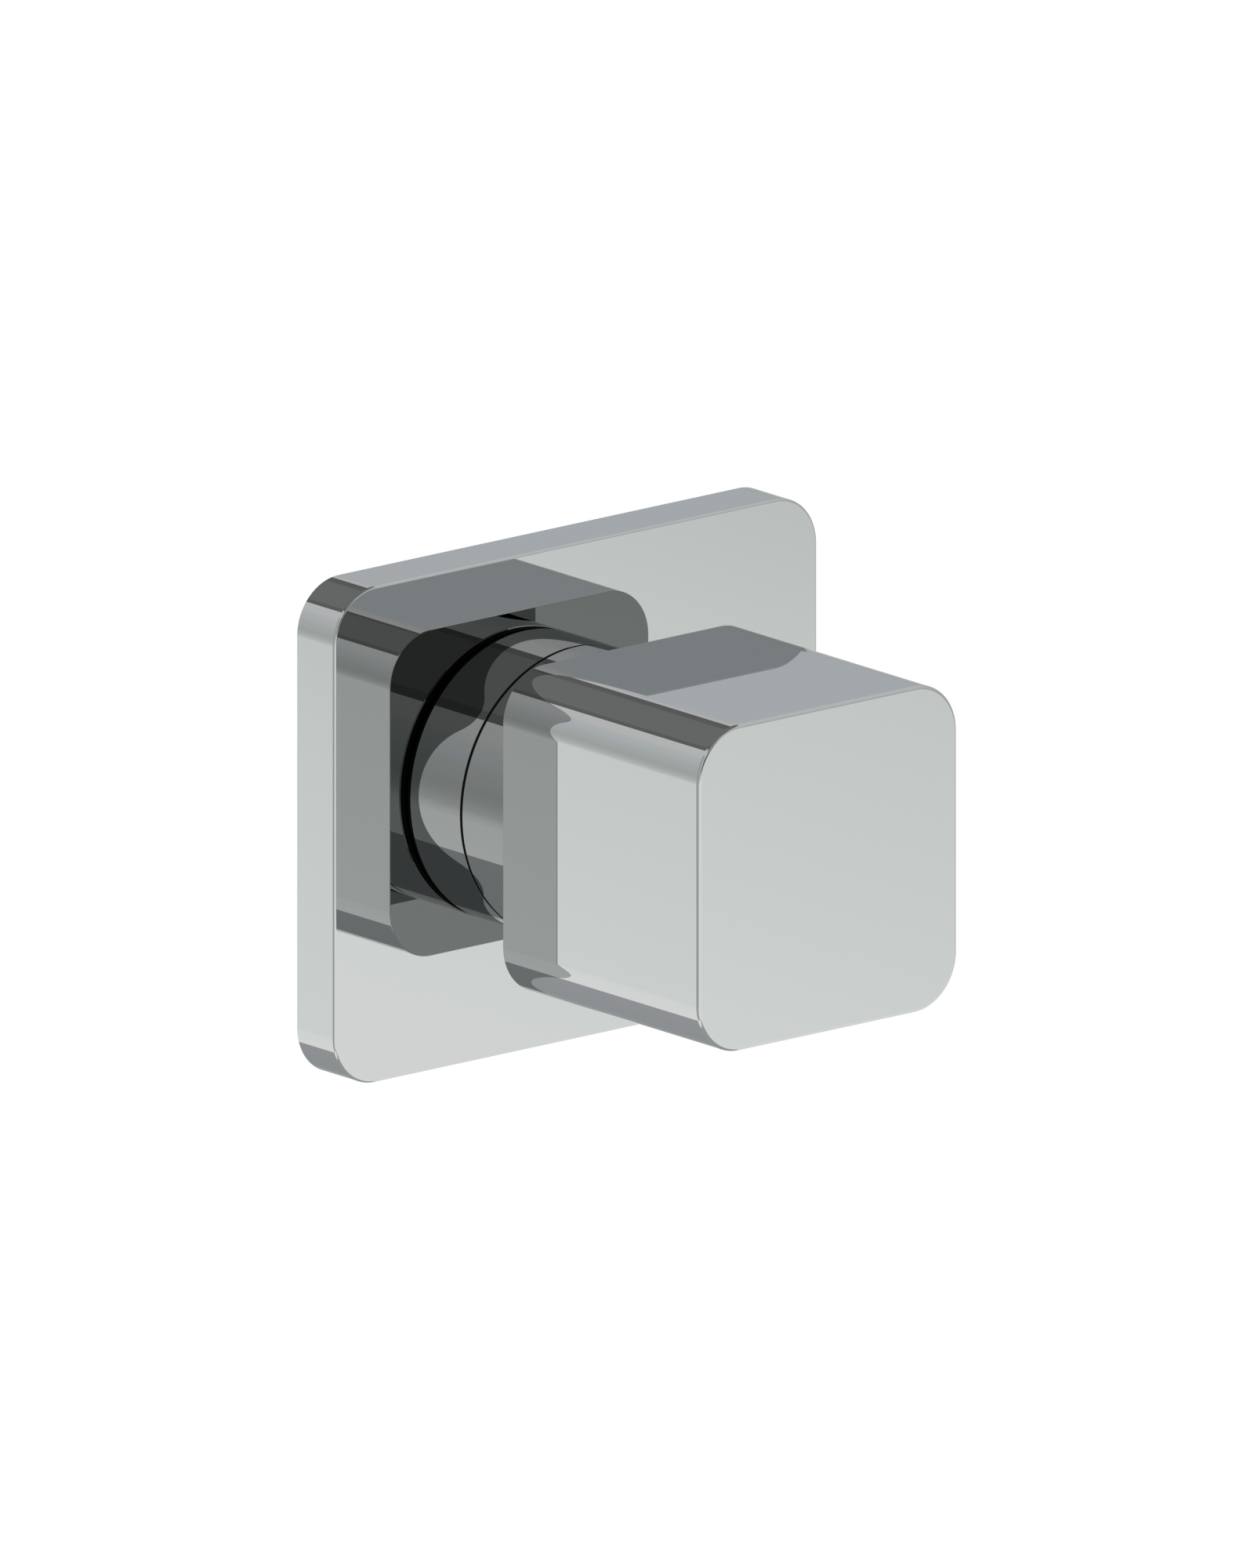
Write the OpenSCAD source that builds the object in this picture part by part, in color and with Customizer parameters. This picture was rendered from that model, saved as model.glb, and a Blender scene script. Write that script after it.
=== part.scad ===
// Trim of a concealed volume control valve for a bath or shower.
// A square knob stands on a round sleeve in front of a rectangular wall plate. Behind
// them are the threaded adapter and the stem extension that reach the valve in the wall.
// The finished wall is the plane y = 0 and the knob turns on the y axis, pointing to -y.
// Every piece is drawn on its drawing axis: x right, y up and z out of the wall.

/* [Wall plate] */
// Width of the wall plate
plate_w = 84; // [80:0.5:110]
// Height of the wall plate
plate_h = 68.4; // [66:0.2:96]
// Distance of the plate's front face from the wall
plate_t = 7.7; // [7.2:0.1:10]
// Radius of the plate's four corners
plate_corner_r = 7.2; // [6:0.1:12]
// Rounding of the plate's front edge
plate_edge_r = 0.35; // [0.25:0.05:1]
// Thickness of the plate's front wall
plate_skin = 2.2; // [1.8:0.1:2.6]
// Thickness of the plate's rim outside the seal
plate_rim = 2; // [1.5:0.1:2.6]
// Thickness of the ribs behind the plate
plate_rib_t = 1.5; // [1.2:0.1:2]
// Wall of the boss round the plate's hole
boss_wall = 3; // [2:0.1:4]
// Width of the foam seal in the rim
seal_w = 3.2; // [2.4:0.1:3.6]
// Thickness of the foam seal, pressed flat on the wall
seal_t = 3; // [2:0.1:3.4]

/* [Sleeve] */
// Outer diameter of the sleeve
sleeve_d = 39.9; // [39.6:0.1:43]
// Length of the sleeve
sleeve_len = 10.4; // [10:0.1:20]
// Wall of the sleeve round its thread
sleeve_thread_wall = 3.45; // [3.2:0.05:3.8]
// Wall of the sleeve round the glide ring
sleeve_wall = 1.8; // [1.6:0.1:1.9]
// Wall of the glide ring
glide_wall = 1.75; // [1.5:0.05:1.8]
// Visible gap between the plate and the sleeve
joint_gap = 0.25; // [0.2:0.05:0.4]
// Visible gap between the sleeve and the knob
knob_gap = 1.05; // [0.9:0.05:1.4]

/* [Knob] */
// Side of the square knob
knob_side = 45; // [44:0.5:60]
// Depth of the knob along its axis
knob_depth = 40.6; // [40:0.2:60]
// Radius of the knob's four long edges
knob_corner_r = 7.2; // [5:0.1:8]
// Rounding of the knob's front edge
knob_edge_r = 0.5; // [0.3:0.1:0.8]
// Rounding of the knob's back edge
knob_back_edge_r = 0.1; // [0.1:0.1:0.8]
// Thickness of the knob's front wall
knob_front_t = 4.6; // [3:0.1:6]
// Length of the insert's spigot that turns in the glide ring
spigot_len = 4.8; // [4:0.1:5.2]

/* [Hub insert] */
// Wall of the insert's outer ring
insert_wall = 2; // [1.8:0.1:2.1]
// Wall of the insert's hub
hub_wall = 1.75; // [1.5:0.05:1.8]
// Thickness of the insert's web
web_t = 3; // [2.4:0.1:4]
// Thickness of the insert's ribs
insert_rib_t = 1.4; // [1:0.1:1.6]
// Number of screws that hold the insert in the knob
insert_screw_count = 3; // [2, 3]

/* [Stem] */
// Diameter of the stem extension
stem_d = 12; // [11.6:0.1:13]
// Diameter over the spline's teeth
spline_d = 8; // [7.6:0.1:8.4]
// Height of the spline's teeth
tooth_h = 0.5; // [0.4:0.05:0.6]
// Number of the spline's teeth
spline_teeth = 20; // [16:1:24]
// Length of the spline at the front of the stem extension
spline_len = 10; // [8:0.5:11]
// Length of the toothed socket at the back of the stem extension
socket_len = 7.5; // [6:0.5:10]
// Length of the plain lead-in of that socket
lead_len = 2.5; // [2:0.1:4]
// Diameter of the handle adapter
handle_adapter_d = 16; // [15.4:0.1:16.4]

/* [Valve adapter] */
// Reach of the valve adapter behind the wall
adapter_reach = 22; // [20:0.5:60]
// Diameter of the thread that takes the valve's bonnet
valve_thread_d = 23; // [21:0.5:24]
// Length of that thread
valve_thread_len = 10; // [8:0.5:11]
// Length of the guide bush of the stem
bush_len = 7; // [5:0.5:8]

/* [Screws and rings] */
// Diameter of the long stem screw
stem_screw_d = 3.9; // [3.7:0.1:4]
// Diameter of the insert screws
insert_screw_d = 2.4; // [2.2:0.1:2.5]
// Diameter of the grub screw under the knob
grub_d = 4.9; // [4.5:0.1:5.2]
// Length of the grub screw
grub_len = 10; // [9.6:0.1:10.4]
// Diameter of the plug under the knob
plug_d = 5.9; // [5.8:0.1:6.6]

/* [Hidden] */
$fn = 64;

// Clearances: a turning fit, a fit that stays put, and a part that rests on another
run_gap = 0.05;
fit_gap = 0.05;
seat_gap = 0.02;
// Gap between faces that pass each other, and the overrun of every cut
pass_gap = 0.3;
cut = 1;
// Small chamfer on turned parts, and the overlap of parts of one casting
chamfer = 0.3;
bite = 0.4;

// Places along the axis, in front of the wall
sleeve_back_z = plate_t + joint_gap;
sleeve_front_z = sleeve_back_z + sleeve_len;
knob_back_z = sleeve_front_z + knob_gap;
knob_front_z = knob_back_z + knob_depth;
pocket_floor_z = knob_front_z - knob_front_t;
spigot_back_z = knob_back_z - spigot_len;
ring_end_gap = 0.4;
glide_back_z = spigot_back_z - ring_end_gap;
adapter_front_z = glide_back_z - ring_end_gap;
adapter_back_z = -adapter_reach;
valve_thread_end_z = adapter_back_z + valve_thread_len;
bonnet_gap = 2.5;
stem_back_z = valve_thread_end_z + bonnet_gap;
socket_floor_z = stem_back_z + lead_len + socket_len;
hub_set_back = 0.6;
stem_shoulder_z = knob_back_z + hub_set_back;
stem_front_z = stem_shoulder_z + spline_len;

// Radii from the outside in
sleeve_r = sleeve_d / 2;
glide_seat_r = sleeve_r - sleeve_wall;
glide_bore_r = glide_seat_r - glide_wall;
spigot_r = glide_bore_r - run_gap;
spigot_step = 0.65;
pocket_r = spigot_r + spigot_step;
insert_r = pocket_r - fit_gap;
insert_in_r = insert_r - insert_wall;
stem_r = stem_d / 2;
spline_r = spline_d / 2;
handle_adapter_r = handle_adapter_d / 2;
hub_bore_r = handle_adapter_r + fit_gap;
hub_r = hub_bore_r + hub_wall;
sleeve_thread_r = sleeve_r - sleeve_thread_wall;
adapter_r = sleeve_thread_r - fit_gap;
valve_thread_r = valve_thread_d / 2;

// Plate hole, boss and ribs
plate_hole_gap = 0.75;
plate_hole_r = adapter_r + plate_hole_gap;
boss_r = plate_hole_r + boss_wall;
boss_set_back = 1.2;
rib_set_back = 2.4;
tray_z = plate_t - plate_skin;
step_w = plate_rim + seal_w;
tray_w = plate_w - 2 * step_w;
tray_h = plate_h - 2 * step_w;
tray_corner_r = 2;
corner_rib_angle = atan2(tray_h, tray_w);
rib_angles = [0, corner_rib_angle, 180 - corner_rib_angle, 180,
    180 + corner_rib_angle, 360 - corner_rib_angle];

// Gasket let into the back of the sleeve
gasket_t = 1;
gasket_lip = 0.5;
gasket_land = 0.2;
gasket_r = sleeve_r - gasket_lip - fit_gap;
gasket_in_r = plate_hole_r + gasket_land;

// Glide ring
glide_flange_t = knob_gap - pass_gap;
glide_flange_inset = 0.25;

// Ring of round section in the plate's hole
plate_ring_d = 1.4;
plate_groove_r = plate_hole_r - plate_ring_d - 2 * seat_gap;
plate_groove_w = 1.9;
plate_groove_z = (boss_set_back + plate_t) / 2;

// Valve adapter
adapter_wall = 2.5;
adapter_barrel_r = valve_thread_r + adapter_wall;
hex_step = 2.2;
hex_r = adapter_barrel_r + hex_step;
hex_chamfer = 1.2;
mouth_chamfer = 0.5;
hex_len = 7;
hex_set_back = 2;
hex_front_z = -hex_set_back;
hex_back_z = hex_front_z - hex_len;
adapter_bore_gap = 3;
adapter_bore_r = stem_r + adapter_bore_gap;
bush_wall = 5.9;
bush_bore_r = stem_r + run_gap;
bush_r = bush_bore_r + bush_wall;
bush_seat_r = bush_r + fit_gap;

// Retaining ring in front of the bush
clip_t = 1.2;
clip_land = 1;
clip_depth = 0.6;
clip_groove_r = bush_seat_r + clip_depth;
clip_r = clip_groove_r - fit_gap;
clip_w = 1.9;
clip_front_z = adapter_front_z - clip_land;
clip_back_z = clip_front_z - clip_t - 2 * seat_gap;
clip_lug_r = 1.7;
clip_lug_hole_r = 0.7;
clip_lug_angle = 16;
clip_mouth_w = 3;
bush_front_z = clip_back_z;
bush_back_z = bush_front_z - bush_len;

// Stem extension
stem_ring_d = 1.1;
stem_groove_w = 1.5;
stem_groove_r = bush_bore_r - run_gap - stem_ring_d;
stem_groove_z = (bush_front_z + bush_back_z) / 2;
screw_clear = 0.25;
stem_screw_r = stem_screw_d / 2;
screw_hole_r = stem_screw_r + screw_clear;
lead_gap = 0.1;
lead_r = spline_r + lead_gap;
tooth_gap = 0.05;

// Handle adapter
spline_end_gap = 0.2;
adapter_web_t = 2.5;
adapter_web_z = stem_front_z + spline_end_gap;
washer_seat_z = adapter_web_z + adapter_web_t;
head_recess_t = 3.3;
handle_adapter_front_z = washer_seat_z + head_recess_t;
head_recess_r = 4.3;
grub_place_share = 0.8;
grub_z = stem_shoulder_z + grub_place_share * spline_len;
grub_groove_depth = 0.6;
grub_groove_r = handle_adapter_r - grub_groove_depth;
grub_tip_r = 0.9;
grub_side_gap = 0.1;
grub_groove_w = 2 * (grub_tip_r + grub_side_gap);
hub_ring_d = 1.1;
hub_groove_w = 1.5;
hub_groove_r = hub_bore_r - hub_ring_d - 2 * seat_gap;
hub_groove_land = 0.2;
hub_ring_z = washer_seat_z + hub_groove_w / 2 + hub_groove_land;

// Stem screw and its spring washer
washer_t = 1;
washer_r = 3.9;
washer_slot_w = 0.8;
head_z = washer_seat_z + washer_t;
stem_head_r = 3.5;
stem_head_t = 4;
hex_key_r = 1.75;
hex_key_depth = 2.4;
screw_tip_gap = 0.7;
stem_screw_tip_z = stem_back_z + lead_len + screw_tip_gap;

// Hub insert and its screws
head_room = 1.3;
web_back_z = head_z + stem_head_t + head_room;
web_front_z = web_back_z + web_t;
insert_rib_count = 6;
insert_rib_set_back = 2;
insert_rib_z = stem_shoulder_z + insert_rib_set_back;
grub_boss_r = 4;
screw_circle_r = (hub_r + insert_in_r) / 2;
insert_screw_r = insert_screw_d / 2;
insert_screw_reach = 7;
insert_head_r = 2.25;
insert_head_t = 2.1;
cross_w = 0.8;
cross_depth = 1.2;
post_r = 2.6;
insert_screw_first = 90;

// Grub screw and plug under the knob
grub_r = grub_d / 2;
grub_hole_r = grub_r + fit_gap;
grub_tip_y = -grub_groove_r - seat_gap;
grub_cone = 1.4;
grub_key_r = 1.45;
grub_key_depth = 3;
plug_r = plug_d / 2;
plug_hole_r = plug_r + fit_gap;
plug_len = 3.2;
plug_wall = 0.9;
plug_hole_depth = plug_len + 2 * fit_gap;

// Moves a drawing out of the wall: its z becomes -y and its y becomes z
module out_of_wall() rotate([90, 0, 0]) children();

// Outline of a rectangle with round corners
module round_rect(w, h, r) {
    square([w, h - 2 * r], center = true);
    square([w - 2 * r, h], center = true);
    for (x = [-1, 1], y = [-1, 1])
        translate([x * (w / 2 - r), y * (h / 2 - r)]) circle(r);
}

// Half of a wall's section: half width, height, and the rounding of front and back edge
module edge_half(half_w, t, front_r, back_r) {
    translate([0, back_r]) square([half_w, t - front_r - back_r]);
    square([half_w - back_r, t / 2]);
    translate([0, t / 2]) square([half_w - front_r, t / 2]);
    if (front_r > 0) translate([half_w - front_r, t - front_r]) circle(front_r);
    if (back_r > 0) translate([half_w - back_r, back_r]) circle(back_r);
}

// Bar whose section is the same on both sides of its middle
module edge_bar(len, half_w, t, front_r, back_r)
    rotate([90, 0, 90]) linear_extrude(len, center = true) {
        edge_half(half_w, t, front_r, back_r);
        mirror([1, 0]) edge_half(half_w, t, front_r, back_r);
    }

// Block with round corners and true rounded front and back edges
module soft_block(w, h, t, corner_r, front_r, back_r) {
    edge_bar(w - 2 * corner_r, h / 2, t, front_r, back_r);
    rotate(90) edge_bar(h - 2 * corner_r, w / 2, t, front_r, back_r);
    for (x = [-1, 1], y = [-1, 1])
        translate([x * (w / 2 - corner_r), y * (h / 2 - corner_r)])
            rotate_extrude() edge_half(corner_r, t, front_r, back_r);
}

// Plain turned ring between two places on the axis
module ring(r_out, r_in, z0, z1)
    translate([0, 0, z0]) linear_extrude(z1 - z0) difference() {
        circle(r_out);
        circle(r_in);
    }

// Turned ring whose outer edges are chamfered
module chamfered_ring(r_out, r_in, z0, z1, c)
    rotate_extrude() polygon([
        [r_in, z0], [r_out - c, z0], [r_out, z0 + c],
        [r_out, z1 - c], [r_out - c, z1], [r_in, z1]]);

// Ring of round section that touches nothing: inner radius, section and place
module round_ring(r_in, d, z)
    translate([0, 0, z]) rotate_extrude() translate([r_in + d / 2, 0]) circle(d / 2);

// Outline of a spline: teeth with flat tips on a round core, worked out tooth by tooth
module spline_outline(tip_r, root_r) {
    pitch = 360 / spline_teeth;
    tip_share = 0.15;
    root_share = 0.32;
    polygon([for (i = [0:spline_teeth - 1], k = [[root_r, -root_share], [tip_r, -tip_share],
            [tip_r, tip_share], [root_r, root_share]])
        k[0] * [cos((i + k[1]) * pitch), sin((i + k[1]) * pitch)]]);
}

// Six-sided column, such as a key's socket
module hex_column(r, t) linear_extrude(t) circle(r, $fn = 6);

// Ribs behind the plate, from the boss to the step of the rim
module plate_ribs() intersection() {
    translate([0, 0, rib_set_back]) linear_extrude(tray_z - rib_set_back + bite)
        round_rect(tray_w + seal_w, tray_h + seal_w, tray_corner_r + seal_w / 2);
    for (a = rib_angles)
        rotate(a) translate([boss_r - bite, -plate_rib_t / 2, 0])
            cube([plate_w, plate_rib_t, plate_t]);
}

module wall_plate() color("gainsboro") out_of_wall() difference() {
    union() {
        difference() {
            soft_block(plate_w, plate_h, plate_t, plate_corner_r, plate_edge_r, 0);
            translate([0, 0, -cut]) linear_extrude(tray_z + cut)
                round_rect(tray_w, tray_h, tray_corner_r);
        }
        translate([0, 0, boss_set_back]) cylinder(tray_z - boss_set_back + bite, boss_r, boss_r);
        plate_ribs();
    }
    translate([0, 0, -cut]) cylinder(plate_t + 2 * cut, plate_hole_r, plate_hole_r);
    translate([0, 0, -cut]) linear_extrude(seal_t + cut) difference() {
        round_rect(plate_w - 2 * plate_rim, plate_h - 2 * plate_rim, plate_corner_r - plate_rim);
        round_rect(tray_w - fit_gap, tray_h - fit_gap, tray_corner_r);
    }
}

module plate_seal() color("dimgray") out_of_wall() linear_extrude(seal_t) difference() {
    round_rect(plate_w - 2 * (plate_rim + fit_gap), plate_h - 2 * (plate_rim + fit_gap),
        plate_corner_r - plate_rim - fit_gap);
    round_rect(tray_w, tray_h, tray_corner_r);
}

module plate_o_ring() color("dimgray") out_of_wall()
    round_ring(plate_groove_r + seat_gap, plate_ring_d, plate_groove_z);

module sleeve_gasket() color("dimgray") out_of_wall()
    ring(gasket_r, gasket_in_r, plate_t, plate_t + gasket_t);

module sleeve() color("gainsboro") out_of_wall() difference() {
    chamfered_ring(sleeve_r, sleeve_thread_r, sleeve_back_z, sleeve_front_z, chamfer / 2);
    ring(gasket_r + fit_gap, gasket_in_r - fit_gap, sleeve_back_z - cut, plate_t + gasket_t);
    translate([0, 0, glide_back_z])
        cylinder(sleeve_front_z - glide_back_z + cut, glide_seat_r, glide_seat_r);
}

module glide_ring() color("dimgray") out_of_wall() rotate_extrude() polygon([
    [glide_bore_r, glide_back_z + chamfer], [glide_bore_r + chamfer, glide_back_z],
    [glide_seat_r - fit_gap, glide_back_z], [glide_seat_r - fit_gap, sleeve_front_z],
    [sleeve_r - glide_flange_inset, sleeve_front_z],
    [sleeve_r - glide_flange_inset, sleeve_front_z + glide_flange_t],
    [glide_bore_r, sleeve_front_z + glide_flange_t]]);

module valve_adapter() color("goldenrod") out_of_wall() difference() {
    union() {
        chamfered_ring(adapter_barrel_r, adapter_bore_r, adapter_back_z, hex_back_z + bite, chamfer);
        intersection() {
            translate([0, 0, hex_back_z]) rotate(30) hex_column(hex_r, hex_len + bite);
            chamfered_ring(hex_r, adapter_bore_r, hex_back_z, hex_front_z + hex_chamfer, hex_chamfer);
        }
        chamfered_ring(adapter_r, adapter_bore_r, hex_front_z, adapter_front_z, chamfer);
    }
    translate([0, 0, adapter_back_z - cut])
        cylinder(valve_thread_len + cut, valve_thread_r, valve_thread_r);
    translate([0, 0, adapter_back_z])
        cylinder(mouth_chamfer, valve_thread_r + mouth_chamfer, valve_thread_r);
    translate([0, 0, valve_thread_end_z - cut])
        cylinder(bush_back_z - valve_thread_end_z + 2 * cut, adapter_bore_r, adapter_bore_r);
    translate([0, 0, bush_back_z]) cylinder(adapter_front_z - bush_back_z + cut, bush_seat_r, bush_seat_r);
    translate([0, 0, clip_back_z]) cylinder(clip_front_z - clip_back_z, clip_groove_r, clip_groove_r);
    ring(adapter_r + cut, plate_groove_r, plate_groove_z - plate_groove_w / 2,
        plate_groove_z + plate_groove_w / 2);
}

module guide_bush() color("whitesmoke") out_of_wall()
    chamfered_ring(bush_r, bush_bore_r, bush_back_z, bush_front_z, chamfer);

// Open ring with two eyes for the pliers
module retaining_ring() color("silver") out_of_wall()
    translate([0, 0, clip_back_z + seat_gap]) linear_extrude(clip_t) difference() {
        union() {
            difference() {
                circle(clip_r);
                circle(clip_r - clip_w);
            }
            for (s = [-1, 1]) rotate(90 + s * clip_lug_angle)
                translate([bush_r - clip_lug_r - clip_w / 2, 0]) circle(clip_lug_r);
        }
        translate([-clip_mouth_w / 2, 0]) square([clip_mouth_w, clip_r + cut]);
        for (s = [-1, 1]) rotate(90 + s * clip_lug_angle)
            translate([bush_r - clip_lug_r - clip_w / 2, 0]) circle(clip_lug_hole_r);
    }

module stem_o_ring() color("dimgray") out_of_wall()
    round_ring(stem_groove_r + seat_gap, stem_ring_d - seat_gap, stem_groove_z);

module stem_extension() color("goldenrod") out_of_wall() difference() {
    union() {
        chamfered_ring(stem_r, screw_hole_r, stem_back_z, stem_shoulder_z, chamfer);
        translate([0, 0, stem_shoulder_z - bite]) linear_extrude(spline_len + bite)
            spline_outline(spline_r, spline_r - tooth_h);
    }
    translate([0, 0, stem_back_z - cut]) cylinder(lead_len + cut, lead_r, lead_r);
    translate([0, 0, stem_back_z]) linear_extrude(lead_len + socket_len)
        spline_outline(spline_r + tooth_gap, spline_r - tooth_h + tooth_gap);
    translate([0, 0, socket_floor_z - cut])
        cylinder(stem_front_z - socket_floor_z + 2 * cut, screw_hole_r, screw_hole_r);
    ring(stem_r + cut, stem_groove_r, stem_groove_z - stem_groove_w / 2, stem_groove_z + stem_groove_w / 2);
}

// Groove with sloping sides that the grub screw's tip bears in
module grub_groove() rotate_extrude() polygon([
    [grub_groove_r, grub_z - grub_groove_w / 2],
    [handle_adapter_r + cut, grub_z - grub_groove_w / 2 - grub_groove_depth - cut],
    [handle_adapter_r + cut, grub_z + grub_groove_w / 2 + grub_groove_depth + cut],
    [grub_groove_r, grub_z + grub_groove_w / 2]]);

module handle_adapter() color("goldenrod") out_of_wall() difference() {
    chamfered_ring(handle_adapter_r, screw_hole_r, stem_shoulder_z, handle_adapter_front_z, chamfer);
    translate([0, 0, stem_shoulder_z - cut]) linear_extrude(spline_len + spline_end_gap + cut)
        spline_outline(spline_r + tooth_gap, spline_r - tooth_h + tooth_gap);
    translate([0, 0, washer_seat_z]) cylinder(head_recess_t + cut, head_recess_r, head_recess_r);
    grub_groove();
    ring(handle_adapter_r + cut, hub_groove_r,
        hub_ring_z - hub_groove_w / 2, hub_ring_z + hub_groove_w / 2);
}

module hub_o_ring() color("dimgray") out_of_wall()
    round_ring(hub_groove_r + seat_gap, hub_ring_d, hub_ring_z);

module stem_screw() color("silver") out_of_wall() difference() {
    union() {
        translate([0, 0, stem_screw_tip_z])
            cylinder(head_z - stem_screw_tip_z + bite, stem_screw_r, stem_screw_r);
        translate([0, 0, head_z]) cylinder(stem_head_t, stem_head_r, stem_head_r);
    }
    translate([0, 0, head_z + stem_head_t - hex_key_depth]) hex_column(hex_key_r, hex_key_depth + cut);
}

// Spring washer, cut through on one side
module lock_washer() color("silver") out_of_wall() difference() {
    ring(washer_r, screw_hole_r, washer_seat_z, head_z);
    translate([-washer_slot_w / 2, 0, washer_seat_z - cut])
        cube([washer_slot_w, washer_r + cut, washer_t + 2 * cut]);
}

// Places its children on the circle of the insert screws
module at_insert_screws()
    for (i = [0:insert_screw_count - 1])
        rotate(insert_screw_first + i * 360 / insert_screw_count)
            translate([screw_circle_r, 0, 0]) children();

// Passage of the grub screw and its plug, from below
module grub_passage() {
    translate([0, 0, grub_z]) rotate([90, 0, 0]) cylinder(knob_side, grub_hole_r, grub_hole_r);
    translate([0, plug_hole_depth - knob_side / 2, grub_z]) rotate([90, 0, 0])
        cylinder(knob_side, plug_hole_r, plug_hole_r);
}

module knob_body() color("gainsboro") out_of_wall() difference() {
    union() {
        difference() {
            translate([0, 0, knob_back_z])
                soft_block(knob_side, knob_side, knob_depth, knob_corner_r, knob_edge_r,
                    knob_back_edge_r);
            translate([0, 0, knob_back_z - cut])
                cylinder(pocket_floor_z - knob_back_z + cut, pocket_r, pocket_r);
        }
        at_insert_screws() translate([0, 0, web_front_z])
            cylinder(pocket_floor_z - web_front_z + bite, post_r, post_r);
    }
    at_insert_screws() translate([0, 0, web_front_z - cut])
        cylinder(insert_screw_reach + cut, insert_screw_r + fit_gap, insert_screw_r + fit_gap);
    grub_passage();
}

module hub_insert() color("darkslategray") out_of_wall() difference() {
    union() {
        chamfered_ring(spigot_r, insert_in_r, spigot_back_z, knob_back_z + bite, chamfer);
        ring(insert_r, insert_in_r, knob_back_z, web_front_z);
        ring(hub_r, hub_bore_r, stem_shoulder_z, web_front_z);
        translate([0, 0, web_back_z]) cylinder(web_t, insert_in_r + bite, insert_in_r + bite);
        for (i = [0:insert_rib_count - 1]) rotate(i * 360 / insert_rib_count)
            translate([hub_r - bite, -insert_rib_t / 2, insert_rib_z])
                cube([insert_in_r - hub_r + 2 * bite, insert_rib_t, web_back_z - insert_rib_z + bite]);
        translate([0, -hub_r + bite, grub_z]) rotate([90, 0, 0])
            cylinder(insert_in_r - hub_r + 2 * bite, grub_boss_r, grub_boss_r);
    }
    at_insert_screws() translate([0, 0, web_back_z - cut])
        cylinder(web_t + 2 * cut, insert_screw_r + screw_clear, insert_screw_r + screw_clear);
    at_insert_screws() translate([0, 0, spigot_back_z - cut]) cylinder(
        web_back_z - spigot_back_z + cut, insert_head_r + screw_clear, insert_head_r + screw_clear);
    grub_passage();
}

module insert_screws() color("silver") out_of_wall() at_insert_screws() difference() {
    union() {
        translate([0, 0, web_back_z - bite])
            cylinder(web_t + insert_screw_reach - cut + bite, insert_screw_r, insert_screw_r);
        translate([0, 0, web_back_z - insert_head_t]) cylinder(insert_head_t, insert_head_r, insert_head_r);
    }
    for (a = [0, 90]) rotate(a)
        translate([-insert_head_r / 2, -cross_w / 2, web_back_z - insert_head_t - cut])
            cube([insert_head_r, cross_w, cross_depth + cut]);
}

// Hexagon socket set screw with a cone point, screwed in from below
module grub_screw() color("silver") out_of_wall()
    translate([0, grub_tip_y, grub_z]) rotate([90, 0, 0]) difference() {
        union() {
            cylinder(grub_cone, grub_tip_r, grub_r);
            translate([0, 0, grub_cone]) cylinder(grub_len - grub_cone, grub_r, grub_r);
        }
        translate([0, 0, grub_len - grub_key_depth]) hex_column(grub_key_r, grub_key_depth + cut);
    }

// Push-in cap that closes the grub screw's hole
module screw_plug() color("gainsboro") out_of_wall()
    translate([0, -knob_side / 2, grub_z]) rotate([-90, 0, 0]) difference() {
        cylinder(plug_len, plug_r, plug_r);
        translate([0, 0, plug_wall]) cylinder(plug_len, plug_r - plug_wall, plug_r - plug_wall);
    }

wall_plate();
plate_seal();
plate_o_ring();
sleeve_gasket();
sleeve();
glide_ring();
valve_adapter();
guide_bush();
retaining_ring();
stem_o_ring();
stem_extension();
handle_adapter();
hub_o_ring();
stem_screw();
lock_washer();
knob_body();
hub_insert();
insert_screws();
grub_screw();
screw_plug();
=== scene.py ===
from math import atan2, ceil, cos, hypot, pi, radians, sin, tau

import bmesh
import bpy
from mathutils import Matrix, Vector


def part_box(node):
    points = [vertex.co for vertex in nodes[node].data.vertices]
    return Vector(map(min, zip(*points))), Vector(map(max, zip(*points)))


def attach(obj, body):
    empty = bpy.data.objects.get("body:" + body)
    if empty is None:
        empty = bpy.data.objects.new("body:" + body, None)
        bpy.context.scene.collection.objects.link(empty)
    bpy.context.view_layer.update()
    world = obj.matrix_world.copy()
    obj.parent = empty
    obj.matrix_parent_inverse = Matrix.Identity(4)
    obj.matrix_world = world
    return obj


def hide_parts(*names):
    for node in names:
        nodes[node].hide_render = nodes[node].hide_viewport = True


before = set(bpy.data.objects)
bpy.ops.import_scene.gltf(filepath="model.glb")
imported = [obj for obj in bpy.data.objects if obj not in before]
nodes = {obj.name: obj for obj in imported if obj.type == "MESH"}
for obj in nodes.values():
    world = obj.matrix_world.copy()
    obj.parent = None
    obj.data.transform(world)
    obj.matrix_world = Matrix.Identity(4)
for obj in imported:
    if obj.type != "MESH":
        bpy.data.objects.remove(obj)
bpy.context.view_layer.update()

# Camera. The view has no perspective, so that edges that are parallel stay parallel. It stands
# 40 degrees left of the plate's normal and 15 degrees above it, and frames 1600 by 2000 pixels.
MM = 0.001
frame_height_px = 2000
px_per_mm = 9.575
view_turn, view_lift = radians(-40), radians(15)
camera_distance = 500 * MM
plate_right_of_centre, plate_below_centre = 6.83 * MM, 0.92 * MM

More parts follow.
